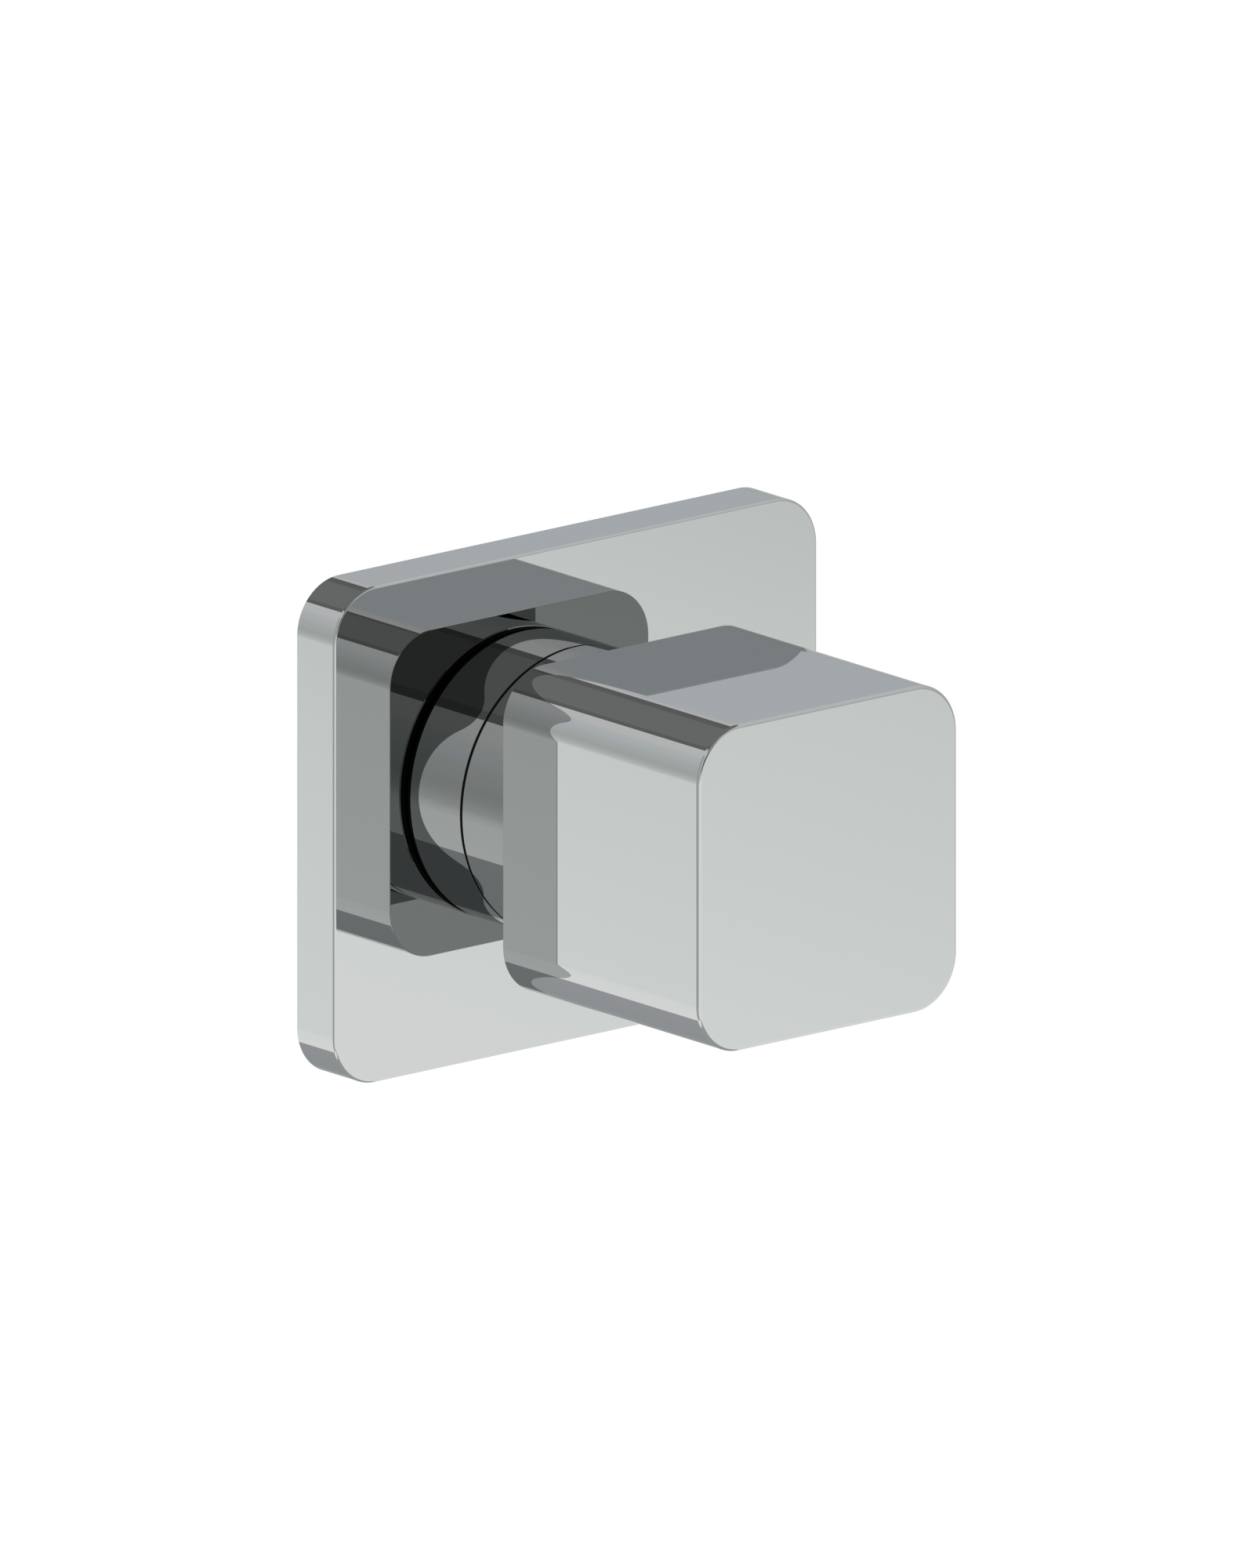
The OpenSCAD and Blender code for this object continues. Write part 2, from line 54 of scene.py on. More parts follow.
wall_plate_low, wall_plate_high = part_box("wall_plate")
level_share = cos(view_lift)
to_camera = Vector((sin(view_turn) * level_share, -cos(view_turn) * level_share, sin(view_lift)))
camera_turn = (-to_camera).to_track_quat("-Z", "Y")
off_centre = Vector((plate_right_of_centre, plate_below_centre, 0))
aim = Vector((0, wall_plate_low.y, 0)) + camera_turn @ off_centre

camera_data = bpy.data.cameras.new("camera")
camera_data.type = "ORTHO"
camera_data.ortho_scale = frame_height_px / px_per_mm * MM
camera = bpy.data.objects.new("camera", camera_data)
camera.location = aim + to_camera * camera_distance
camera.rotation_mode = "QUATERNION"
camera.rotation_quaternion = camera_turn
bpy.context.scene.collection.objects.link(camera)
bpy.context.scene.camera = camera
bpy.context.scene.view_settings.view_transform = "Standard"
# Plate and knob mirror each other: light is followed for eight bounces before chance may end it
bpy.context.scene.cycles.min_light_bounces = 8


# Studio. The part hangs in a long room that only mirror-like surfaces see: walls brightest low
# down, a dark ceiling, and some cards, curtains, a mat and a post. A white room and a soft lamp
# light what isn't a mirror.
def add_node(tree, kind, inputs, **settings):
    """Adds a node. inputs maps its input names to values or to other nodes' outputs."""
    made = tree.nodes.new(kind)
    for name, value in settings.items():
        setattr(made, name, value)
    for name, value in inputs.items():
        if isinstance(value, bpy.types.NodeSocket):
            tree.links.new(value, made.inputs[name])
        else:
            made.inputs[name].default_value = value
    return made


def srgb(hex_colour):
    """Linear RGBA of an sRGB colour such as "#C4C6C5"."""
    shares = [int(hex_colour[i:i + 2], 16) / 255 for i in (1, 3, 5)]
    return [s / 12.92 if s <= 0.04045 else ((s + 0.055) / 1.055) ** 2.4 for s in shares] + [1]


def new_tree(owner):
    """Turns nodes on for a material or world and returns its emptied node tree."""
    owner.use_nodes = True
    owner.node_tree.nodes.clear()
    return owner.node_tree


room_white, room_light = "#FFFFFF", 0.85
world = bpy.data.worlds.new("white_room")
bpy.context.scene.world = world
tree = new_tree(world)
ray = add_node(tree, "ShaderNodeLightPath", {})
strength = add_node(tree, "ShaderNodeMix", {
    "Factor": ray.outputs["Is Camera Ray"], "A": room_light, "B": 1.0})
sky = add_node(tree, "ShaderNodeBackground", {
    "Color": srgb(room_white), "Strength": strength.outputs["Result"]})
add_node(tree, "ShaderNodeOutputWorld", {"Surface": sky.outputs["Background"]})


def bake_place(piece, name):
    """Names a new piece and moves its object's place and turn into its mesh."""
    piece.name = piece.data.name = name
    bpy.ops.object.transform_apply(location=True, rotation=True, scale=True)
    return piece


def new_box(name, middle, size, turn=0):
    """A box about its middle, turned about the y axis."""
    bpy.ops.object.select_all(action="DESELECT")
    bpy.ops.mesh.primitive_cube_add(size=1, location=middle, scale=size, rotation=(0, turn, 0))
    return bake_place(bpy.context.object, name)


def for_mirrors_only(name, low, high, cloth):
    """A box of lit cloth in the studio that only glossy surfaces see."""
    card = new_box(name, (low + high) / 2, high - low)
    card.visible_camera = card.visible_diffuse = card.visible_shadow = False
    card.visible_volume_scatter = False
    cloth.cycles.emission_sampling = "NONE"
    card.data.materials.append(cloth)


room_half, room_shift = Vector((580, 1480, 800)) * MM, Vector((-10, 0, 0)) * MM
cloth_light = 1.27
# Share of the room's half height, from the floor at -1 to the ceiling at 1, and the colour there
wall_bands = [
    (-1, "#AEB0B3"), (-0.998, "#FFFFFF"), (-0.79, "#FEFFFF"), (-0.445, "#FBFDFC"),
    (-0.345, "#FBFCFB"), (-0.327, "#F7FAF9"), (-0.30, "#F2F5F4"), (-0.264, "#EBEEED"),
    (-0.211, "#D8DBDA"), (-0.104, "#C5C8C7"), (-0.005, "#BCBFBE"), (0.09, "#C1C4C3"),
    (0.20, "#C4C7C6"), (0.33, "#C9CDD3"), (0.45, "#CECFD0"), (0.62, "#D6D6D8"),
    (0.998, "#D8D8D9"), (1, "#7B7B7C")]
room_cloth = bpy.data.materials.new("lit_wall_cloth")
tree = new_tree(room_cloth)
place = add_node(tree, "ShaderNodeTexCoord", {})
split = add_node(tree, "ShaderNodeSeparateXYZ", {"Vector": place.outputs["Object"]})
height = add_node(tree, "ShaderNodeMapRange", {
    "Value": split.outputs["Z"], "From Min": -room_half.z, "From Max": room_half.z})
bands = add_node(tree, "ShaderNodeValToRGB", {"Fac": height.outputs["Result"]})
stops = bands.color_ramp.elements
while len(stops) < len(wall_bands):
    stops.new(1)
for stop, (level, shade) in zip(stops, wall_bands):
    stop.position = (level + 1) / 2
    stop.color = srgb(shade)
glow = add_node(tree, "ShaderNodeEmission", {
    "Color": bands.outputs["Color"], "Strength": cloth_light})
add_node(tree, "ShaderNodeOutputMaterial", {"Surface": glow.outputs["Emission"]})
for_mirrors_only("studio_room", room_shift - room_half, room_shift + room_half, room_cloth)

# Cards of one shade each, with their lowest and highest corners in mm
for card_name, shade, card_low, card_high in (
        ("dark_card", "#6C6C6D", (330, 530, 558), (560, 1000, 560)),
        ("ceiling_edge_right", "#6C6C6D", (440, -1470, 794), (565, 1470, 796)),
        ("ceiling_edge_left", "#6C6C6D", (-585, -1470, 794), (-440, 1470, 796)),
        ("floor_mat_behind", "#AEB0B3", (180, 320, -302), (400, 640, -300)),
        ("grey_post", "#B3B5B4", (-572, -380, -480), (-570, 520, 480)),
        ("curtain_left", "#1E1E1F", (-565, -1478, -60), (-70, -1476, 480)),
        ("curtain_right", "#1E1E1F", (70, -1478, -60), (480, -1476, 480))):
    card_cloth = bpy.data.materials.new(card_name + "_cloth")
    tree = new_tree(card_cloth)
    glow = add_node(tree, "ShaderNodeEmission", {
        "Color": srgb(shade), "Strength": cloth_light})
    add_node(tree, "ShaderNodeOutputMaterial", {"Surface": glow.outputs["Emission"]})
    for_mirrors_only(card_name, Vector(card_low) * MM, Vector(card_high) * MM, card_cloth)

floor_size, floor_drop = 5000 * MM, 900 * MM
bpy.ops.mesh.primitive_plane_add(size=floor_size, location=(0, 0, -floor_drop))
floor = bpy.context.object
floor.name = floor.data.name = "pale_floor"
floor_paint = bpy.data.materials.new("white_wall_paint")
tree = new_tree(floor_paint)
ray = add_node(tree, "ShaderNodeLightPath", {})
matt = add_node(tree, "ShaderNodeBsdfDiffuse", {"Color": srgb("#F4F4F4"), "Roughness": 1})
white = add_node(tree, "ShaderNodeEmission", {"Color": srgb(room_white), "Strength": 1})
shown = add_node(tree, "ShaderNodeMath", {
    0: ray.outputs["Is Camera Ray"], 1: ray.outputs["Is Glossy Ray"]}, operation="MAXIMUM")
paint = add_node(tree, "ShaderNodeMixShader", {
    "Fac": shown.outputs["Value"], 1: matt.outputs["BSDF"], 2: white.outputs["Emission"]})
add_node(tree, "ShaderNodeOutputMaterial", {"Surface": paint.outputs["Shader"]})
floor.data.materials.append(floor_paint)

# Soft lamp high in front on the left: it shapes what isn't a mirror, and mirrors don't show it
lamp_width, lamp_watts, lamp_place = 500 * MM, 3, Vector((-400, -500, 700)) * MM
lamp_data = bpy.data.lights.new("soft_lamp", "AREA")
lamp_data.shape, lamp_data.size, lamp_data.energy = "DISK", lamp_width, lamp_watts
lamp = bpy.data.objects.new("soft_lamp", lamp_data)
lamp.location = lamp_place
lamp.rotation_euler = (-lamp.location).to_track_quat("-Z", "Y").to_euler()
lamp.visible_glossy = False
bpy.context.scene.collection.objects.link(lamp)


# Wall plate. A zinc die casting, hollow behind, with a boss round its hole and ribs to the
# corners. It is ground, polished and chromium plated; the cavity keeps its cast skin under
# the plating. The sleeve, screwed on the valve adapter, clamps it on the wall.
same_place = 0.01 * MM  # two points nearer than this count as one


def pick_edges(piece, test):
    """In edit mode, selects only the edges whose two ends pass the test."""
    bpy.ops.mesh.select_mode(type="EDGE")
    bpy.ops.mesh.select_all(action="DESELECT")
    mesh = bmesh.from_edit_mesh(piece.data)
    for edge in mesh.edges:
        edge.select_set(test([end.co for end in edge.verts]))
    mesh.select_flush_mode()
    bmesh.update_edit_mesh(piece.data)


def round_block(name, low, high, corner, steps):
    """A block whose four edges along y are rounded, as an outline drawn with a radius."""
    block = new_box(name, (low + high) / 2, high - low)
    bpy.ops.object.mode_set(mode="EDIT")
    pick_edges(block, lambda ends: abs((ends[0] - ends[1]).y) > same_place)
    bpy.ops.mesh.bevel(offset=corner, segments=steps, affect="EDGES")
    bpy.ops.object.mode_set(mode="OBJECT")
    return block


def round_rim(block, y, radius, steps):
    """Rounds the edge all round a block's front or back face at that y."""
    bpy.ops.object.mode_set(mode="EDIT")
    pick_edges(block, lambda ends: all(abs(end.y - y) < same_place for end in ends))
    bpy.ops.mesh.bevel(offset=radius, segments=steps, affect="EDGES")
    bpy.ops.object.mode_set(mode="OBJECT")


def rod(name, radius, back, front, sides, centre=(0, 0)):
    """A plain rod along the y axis between two distances from the wall, used as a tool."""
    bpy.ops.object.select_all(action="DESELECT")
    bpy.ops.mesh.primitive_cylinder_add(
        vertices=sides, radius=radius, depth=front - back,
        location=(centre[0], -(back + front) / 2, centre[1]), rotation=(pi / 2, 0, 0))
    return bake_place(bpy.context.object, name)


def select_only(piece):
    """Selects one piece and nothing else, so that the next tool works on it."""
    bpy.ops.object.select_all(action="DESELECT")
    piece.select_set(True)
    bpy.context.view_layer.objects.active = piece


def apply_modifier(piece, kind, **settings):
    """Adds a modifier to a piece and applies it."""
    step = piece.modifiers.new(kind.lower(), kind)
    for name, value in settings.items():
        setattr(step, name, value)
    select_only(piece)
    bpy.ops.object.modifier_apply(modifier=step.name)


def cut_with(piece, tool):
    """Cuts a tool's shape out of a piece, and clears the tool away."""
    apply_modifier(piece, "BOOLEAN", object=tool, operation="DIFFERENCE", solver="EXACT")
    bpy.data.objects.remove(tool)


curve_angle = radians(35)  # faces that meet at less than this are one curved surface


def smooth(piece):
    """Smooth shading over curves, with flat faces kept optically flat up to their edges."""
    select_only(piece)
    bpy.ops.object.shade_smooth_by_angle(angle=curve_angle)
    apply_modifier(piece, "WEIGHTED_NORMAL", keep_sharp=True)


noise_low, noise_high = 0.3, 0.7  # nearly all values of a noise texture lie between these


def new_metal(name, colour, roughness, place_scale, bump, graze="#FFFFFF"):
    """A metal skin whose gloss and height vary over a real distance, place_scale, in metres.
    graze is the tint of what it mirrors at a flat angle."""
    material = bpy.data.materials.new(name)
    tree = new_tree(material)
    place = add_node(tree, "ShaderNodeTexCoord", {})
    grain = add_node(tree, "ShaderNodeTexNoise", {
        "Vector": place.outputs["Object"], "Scale": 1 / place_scale, "Detail": 3})
    gloss = add_node(tree, "ShaderNodeMapRange", {
        "Value": grain.outputs["Fac"], "From Min": noise_low, "From Max": noise_high,
        "To Min": roughness[0], "To Max": roughness[1]})
    skin = add_node(tree, "ShaderNodeBump", {
        "Height": grain.outputs["Fac"], "Distance": bump, "Strength": 1})
    shader = add_node(tree, "ShaderNodeBsdfPrincipled", {
        "Base Color": srgb(colour), "Metallic": 1, "Specular Tint": srgb(graze),
        "Roughness": gloss.outputs["Result"], "Normal": skin.outputs["Normal"]})
    add_node(tree, "ShaderNodeOutputMaterial", {"Surface": shader.outputs["BSDF"]})
    return material


# Chromium plating, polished: a cold mirror that gives back a little over half of the light,
# and no more than that at flat angles. Wiping leaves its gloss uneven in patches of about 9 mm.
polished_chrome = new_metal(
    "polished_chromium_plate", "#BDBFBE", roughness=(0.003, 0.012), place_scale=9 * MM,
    bump=0.0003 * MM, graze="#E4E4E4")
# Chromium plating over a cast or bored surface: the same metal, frosted by a 0.4 mm grain
frosted_chrome = new_metal(
    "frosted_chromium_plate", "#B4B6B6", roughness=(0.30, 0.46), place_scale=0.4 * MM,
    bump=0.03 * MM)


def fit(piece, node, body, slot, *materials):
    """Gives a finished piece its materials, hides the CAD node that it replaces, and hangs it on the
    body that it moves with.
    """
    for material in materials:
        piece.data.materials.append(material)
    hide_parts(node)
    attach(piece, body)


plate_corner, plate_edge = 7.2 * MM, 0.35 * MM
plate_rim, seal_width, seal_depth, tray_depth = 2 * MM, 3.2 * MM, 3 * MM, 5.5 * MM
tray_corner, hole_radius, boss_radius = 2 * MM, 17.2 * MM, 20.2 * MM
boss_back, rib_back, rib_thickness, cast_radius = 1.2 * MM, 2.4 * MM, 1.5 * MM, 0.25 * MM
rib_length = 2 * hypot(wall_plate_high.x, wall_plate_high.z)
plate_thickness = -wall_plate_low.y
# How far a cutting tool stands out of what it cuts, and the play between two tools' sides
overrun, tool_play = 0.5 * MM, 0.05 * MM

wall_plate = round_block("wall_plate_body", wall_plate_low, wall_plate_high, plate_corner, steps=32)
round_rim(wall_plate, wall_plate_low.y, plate_edge, steps=6)

seal_half = wall_plate_high - Vector((plate_rim, 0, plate_rim))
tray_half = seal_half - Vector((seal_width, 0, seal_width))
core = round_block("core", Vector((-tray_half.x, -tray_depth, -tray_half.z)),
                   Vector((tray_half.x, overrun, tray_half.z)), tray_corner, steps=8)
cut_with(core, rod("boss", boss_radius, boss_back, tray_depth + overrun, sides=96))
rib_middle = (0, -(rib_back + tray_depth + overrun) / 2, 0)
rib_size = (rib_length, tray_depth + overrun - rib_back, rib_thickness)
rib_slope = atan2(tray_half.z, tray_half.x)
for rib_turn in (0, rib_slope, -rib_slope):
    cut_with(core, new_box("rib", rib_middle, rib_size, rib_turn))
# A corner that turns by more than this is an edge, and is rounded
edge_angle = radians(50)
apply_modifier(core, "BEVEL", width=cast_radius, segments=3, limit_method="ANGLE",
               angle_limit=edge_angle)
inner_corner = plate_corner - plate_rim
channel = round_block("channel", Vector((-seal_half.x, -seal_depth, -seal_half.z)),
                      Vector((seal_half.x, overrun, seal_half.z)), inner_corner, steps=16)
cut_with(wall_plate, core)
island_half = tray_half - Vector((tool_play, 0, tool_play))
island = round_block("island", Vector((-island_half.x, -tray_depth, -island_half.z)),
                     Vector((island_half.x, 2 * overrun, island_half.z)), tray_corner, steps=8)
cut_with(channel, island)
cut_with(wall_plate, channel)
cut_with(wall_plate, rod("hole", hole_radius, -overrun, plate_thickness + overrun, sides=192))
smooth(wall_plate)
fit(wall_plate, "wall_plate", "wall_side", "chrome", polished_chrome, frosted_chrome)
# Faces inside the rim, and not in front of the tray's floor, keep the frosted skin
skin_play = 0.1 * MM
for face in wall_plate.data.polygons:
    past_corner = hypot(max(abs(face.center.x) - seal_half.x + inner_corner, 0),
                        max(abs(face.center.z) - seal_half.z + inner_corner, 0))
    inside = past_corner < inner_corner + skin_play and face.center.y > -tray_depth - skin_play
    face.material_index = int(inside)


# Plate seal. A strip of closed-cell EPDM foam in the rim's step, glued there and pressed flat
# on the wall when the sleeve is screwed tight. Its cut sides show the cells.
seal_low, seal_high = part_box("plate_seal")
seal_side_gap, seal_edge = 0.1 * MM, 0.45 * MM
inward = Vector((seal_side_gap, 0, seal_side_gap))
foam_strip = round_block("foam_strip", seal_low + inward, seal_high - inward, inner_corner, steps=12)
opening_half = tray_half + inward
strip_opening = round_block(
    "strip_opening", Vector((-opening_half.x, -seal_depth - overrun, -opening_half.z)),
    Vector((opening_half.x, overrun, opening_half.z)), tray_corner, steps=8)
cut_with(foam_strip, strip_opening)
apply_modifier(foam_strip, "BEVEL", width=seal_edge, segments=4, limit_method="ANGLE",
               angle_limit=edge_angle)
smooth(foam_strip)

# EPDM foam: nearly black and dull, with cut cells as pits whose colour darkens towards their middle,
# painted shade in the hollows. The real cells are about
# 0.2 mm across; they are drawn 0.6 mm across so that they show.
foam_cell, foam_pit = 0.6 * MM, 0.08 * MM
# Where a cell's wall ends and its pit is deepest, as shares of the cell
wall_share, pit_share = 0.05, 0.35
closed_cell_foam = bpy.data.materials.new("closed_cell_epdm_foam")
tree = new_tree(closed_cell_foam)
place = add_node(tree, "ShaderNodeTexCoord", {})
cells = add_node(tree, "ShaderNodeTexVoronoi", {
    "Vector": place.outputs["Object"], "Scale": 1 / foam_cell}, feature="DISTANCE_TO_EDGE")
pit_and_painted_shade = add_node(tree, "ShaderNodeMapRange", {
    "Value": cells.outputs["Distance"], "From Min": wall_share, "From Max": pit_share},
    interpolation_type="SMOOTHSTEP")
# Painted shade: each pit's colour goes from the cell wall's grey to near black where it is deepest
shade = add_node(tree, "ShaderNodeMixRGB", {
    "Fac": pit_and_painted_shade.outputs["Result"], "Color1": srgb("#414144"), "Color2": srgb("#19191B")})
pits = add_node(tree, "ShaderNodeBump", {
    "Height": pit_and_painted_shade.outputs["Result"], "Distance": foam_pit, "Strength": 1}, invert=True)
shader = add_node(tree, "ShaderNodeBsdfPrincipled", {
    "Base Color": shade.outputs["Color"], "Roughness": 0.85, "Normal": pits.outputs["Normal"]})
add_node(tree, "ShaderNodeOutputMaterial", {"Surface": shader.outputs["BSDF"]})
fit(foam_strip, "plate_seal", "wall_side", "foam", closed_cell_foam)


# Rubber rings. The three rings of round section, on adapter, stem and handle adapter, are
# moulded in black EPDM, matt, and stretched into their grooves.
def new_moulding(name, colour, second_colour, roughness, place_scale, bump, specular=0.5):
    """Rubber or plastic whose colour, gloss and height vary over a real distance in metres."""
    material = bpy.data.materials.new(name)
    tree = new_tree(material)
    place = add_node(tree, "ShaderNodeTexCoord", {})
    grain = add_node(tree, "ShaderNodeTexNoise", {
        "Vector": place.outputs["Object"], "Scale": 1 / place_scale, "Detail": 4})
    shade = add_node(tree, "ShaderNodeMixRGB", {
        "Fac": grain.outputs["Fac"], "Color1": srgb(colour), "Color2": srgb(second_colour)})
    gloss = add_node(tree, "ShaderNodeMapRange", {
        "Value": grain.outputs["Fac"], "From Min": noise_low, "From Max": noise_high,
        "To Min": roughness[0], "To Max": roughness[1]})
    skin = add_node(tree, "ShaderNodeBump", {
        "Height": grain.outputs["Fac"], "Distance": bump, "Strength": 1})
    shader = add_node(tree, "ShaderNodeBsdfPrincipled", {
        "Base Color": shade.outputs["Color"], "Specular IOR Level": specular,
        "Roughness": gloss.outputs["Result"], "Normal": skin.outputs["Normal"]})
    add_node(tree, "ShaderNodeOutputMaterial", {"Surface": shader.outputs["BSDF"]})
    return material


def dress(material, *names):
    """Gives a material to CAD nodes whose shape stays."""
    for name in names:
        for slot in nodes[name].material_slots:
            slot.material = material


# EPDM rubber, moulded: black and dull, with a little bloom that comes and goes over the skin
black_rubber = new_moulding(
    "moulded_epdm_rubber", "#0C0C0D", "#161617", roughness=(0.5, 0.7), place_scale=0.25 * MM,
    bump=0.004 * MM, specular=0.2)
dress(black_rubber, "plate_o_ring", "stem_o_ring", "hub_o_ring")


# Sleeve. Brass tube, turned and chromium plated. Its inner thread screws on the valve adapter,
# and its front end holds the glide ring.
def turned(name, profile, sides, solid=False):
    """A turned piece: a circle is extruded and scaled along its profile of (radius, distance
    from the wall), then closed by bridging its two ends, or by filling them if it is solid."""
    radius, place = profile[0]
    bpy.ops.object.select_all(action="DESELECT")
    bpy.ops.mesh.primitive_circle_add(
        vertices=sides, radius=radius, location=(0, -place, 0), rotation=(pi / 2, 0, 0))
    piece = bake_place(bpy.context.object, name)
    bpy.ops.object.mode_set(mode="EDIT")
    bpy.ops.mesh.select_mode(type="EDGE")
    bpy.ops.mesh.select_all(action="SELECT")
    for next_radius, next_place in profile[1:]:
        bpy.ops.mesh.extrude_edges_move(
            TRANSFORM_OT_translate={"value": (0, place - next_place, 0)})
        grow = next_radius / radius
        bpy.ops.transform.resize(value=(grow, 1, grow), center_override=(0, -next_place, 0))
        radius, place = next_radius, next_place
    bpy.ops.mesh.select_all(action="DESELECT")
    bpy.ops.mesh.select_non_manifold()
    if solid:
        bpy.ops.mesh.fill_holes(sides=0)
    else:
        bpy.ops.mesh.bridge_edge_loops()
    bpy.ops.mesh.select_all(action="SELECT")
    bpy.ops.mesh.normals_make_consistent(inside=False)
    bpy.ops.object.mode_set(mode="OBJECT")
    return piece


rings_per_turn = 8  # rings of points in one turn of a thread


def thread_rings(radius, start, end, pitch):
    """Profile points close enough together along a bore or shank for a thread to be cut there."""
    count = ceil((end - start) / pitch * rings_per_turn)
    return [(radius, start + (end - start) * i / count) for i in range(count + 1)]


def cut_thread(piece, radius, start, end, pitch, depth):
    """Cuts a right-hand thread of round-bottomed V section. A negative depth cuts a bore's wall."""
    for vertex in piece.data.vertices:
        x, place, z = vertex.co.x, -vertex.co.y, vertex.co.z
        if abs(hypot(x, z) - radius) < same_place and start < place < end:
            turn = (place / pitch + atan2(z, x) / tau) % 1
            runout = min(1, (place - start) / pitch, (end - place) / pitch)
            grow = 1 - depth * runout * (0.5 - 0.5 * cos(tau * turn)) / radius
            vertex.co.x, vertex.co.z = x * grow, z * grow


sleeve_low, sleeve_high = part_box("sleeve")
sleeve_radius, sleeve_back, sleeve_front = sleeve_high.x, -sleeve_high.y, -sleeve_low.y
thread_bore, ring_bore, ring_seat = 16.5 * MM, 18.15 * MM, 14.2 * MM
gasket_outer, gasket_inner, gasket_groove = 19.45 * MM, 17.35 * MM, 8.7 * MM
sleeve_chamfer, back_chamfer = 0.15 * MM, 0.04 * MM
thread_pitch, thread_depth = 1 * MM, 0.5 * MM
sleeve = turned("sleeve_tube", [
    (sleeve_radius - back_chamfer, sleeve_back), (sleeve_radius, sleeve_back + back_chamfer),
    (sleeve_radius, sleeve_front - sleeve_chamfer), (sleeve_radius - sleeve_chamfer, sleeve_front),
    (ring_bore, sleeve_front), (ring_bore, ring_seat),
    *reversed(thread_rings(thread_bore, sleeve_back, ring_seat, thread_pitch)),
    (gasket_inner, sleeve_back), (gasket_inner, gasket_groove), (gasket_outer, gasket_groove),
    (gasket_outer, sleeve_back)], sides=192)
cut_thread(sleeve, thread_bore, sleeve_back, ring_seat, thread_pitch, -thread_depth)
smooth(sleeve)
fit(sleeve, "sleeve", "wall_side", "chrome", polished_chrome)


# Sleeve gasket. Moulded in black EPDM rubber, laid into the groove in the sleeve's back. Its lip
# fills the gap between plate and sleeve and shows there as a thin black line.
lip_outer, lip_back, lip_front, gasket_play = 19.8 * MM, 7.71 * MM, 7.93 * MM, 0.05 * MM
gasket = turned("lipped_gasket", [
    (gasket_inner + gasket_play, lip_back), (lip_outer, lip_back), (lip_outer, lip_front),
    (gasket_outer - gasket_play, lip_front),
    (gasket_outer - gasket_play, gasket_groove - gasket_play),
    (gasket_inner + gasket_play, gasket_groove - gasket_play)], sides=192)
smooth(gasket)
fit(gasket, "sleeve_gasket", "wall_side", "seal_rubber", black_rubber)


# Glide ring. Turned from black acetal, pressed into the sleeve's front end. The knob's insert
# turns in it, and its flange shows as the black line behind the knob.

# Black acetal, turned: black, drawn still darker and with its reflection turned far down, as painted
# shade of the gap behind the knob
black_acetal_painted_shade = new_moulding(
    "turned_black_acetal_painted_shade", "#020202", "#050506", roughness=(0.45, 0.6), place_scale=0.2 * MM,
    bump=0.002 * MM, specular=0.08)
dress(black_acetal_painted_shade, "glide_ring")


# Valve adapter. Turned and milled from brass bar: a tapped mouth for the valve's bonnet, a
# hexagon for the spanner, a groove for the plate's ring and a thread for the sleeve.
adapter_low, adapter_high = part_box("valve_adapter")
adapter_back, adapter_front = -adapter_high.y, -adapter_low.y
rear_radius, barrel_radius, hexagon_radius = 14 * MM, 16.45 * MM, 16.2 * MM
mouth_radius, mouth_end, mouth_chamfer = 11.5 * MM, -12 * MM, 0.5 * MM
bore_radius, bush_seat, bush_back, clip_groove = 9 * MM, 12 * MM, 4.56 * MM, 12.6 * MM
clip_back, clip_front = 11.56 * MM, 12.8 * MM
ring_groove, ring_groove_back, ring_groove_front = 15.76 * MM, 3.5 * MM, 5.4 * MM
hexagon_back, hexagon_front, hexagon_chamfer = -9 * MM, -2 * MM, 1.2 * MM
hexagon_step, turned_chamfer, front_thread_back = 0.05 * MM, 0.3 * MM, 6.5 * MM
mouth_start, thread_front = adapter_back + mouth_chamfer, adapter_front - turned_chamfer
valve_adapter = turned("threaded_valve_adapter", [
    (mouth_radius + mouth_chamfer, adapter_back),
    *thread_rings(mouth_radius, mouth_start, mouth_end, thread_pitch),
    (bore_radius, mouth_end), (bore_radius, bush_back), (bush_seat, bush_back),
    (bush_seat, clip_back), (clip_groove, clip_back), (clip_groove, clip_front),
    (bush_seat, clip_front), (bush_seat, adapter_front),
    (barrel_radius - turned_chamfer, adapter_front),
    *reversed(thread_rings(barrel_radius, front_thread_back, thread_front, thread_pitch)),
    (barrel_radius, ring_groove_front), (ring_groove, ring_groove_front),
    (ring_groove, ring_groove_back), (barrel_radius, ring_groove_back),
    (barrel_radius, hexagon_front + turned_chamfer), (hexagon_radius, hexagon_front + hexagon_step),
    (hexagon_radius, hexagon_back + hexagon_chamfer),
    (hexagon_radius - hexagon_chamfer, hexagon_back), (rear_radius, hexagon_back),
    (rear_radius, adapter_back + turned_chamfer),
    (rear_radius - turned_chamfer, adapter_back)], sides=120)
cut_thread(valve_adapter, mouth_radius, mouth_start, mouth_end, thread_pitch, -thread_depth)
cut_thread(valve_adapter, barrel_radius, front_thread_back, thread_front, thread_pitch,
           thread_depth)
waste_back = hexagon_back - 2 * overrun
waste = rod("waste", 2 * hexagon_radius, waste_back, hexagon_front, sides=60)
cut_with(waste, rod("hexagon", hexagon_radius, waste_back - 2 * overrun,
                    hexagon_front + 2 * overrun, sides=6))
cut_with(valve_adapter, waste)
smooth(valve_adapter)

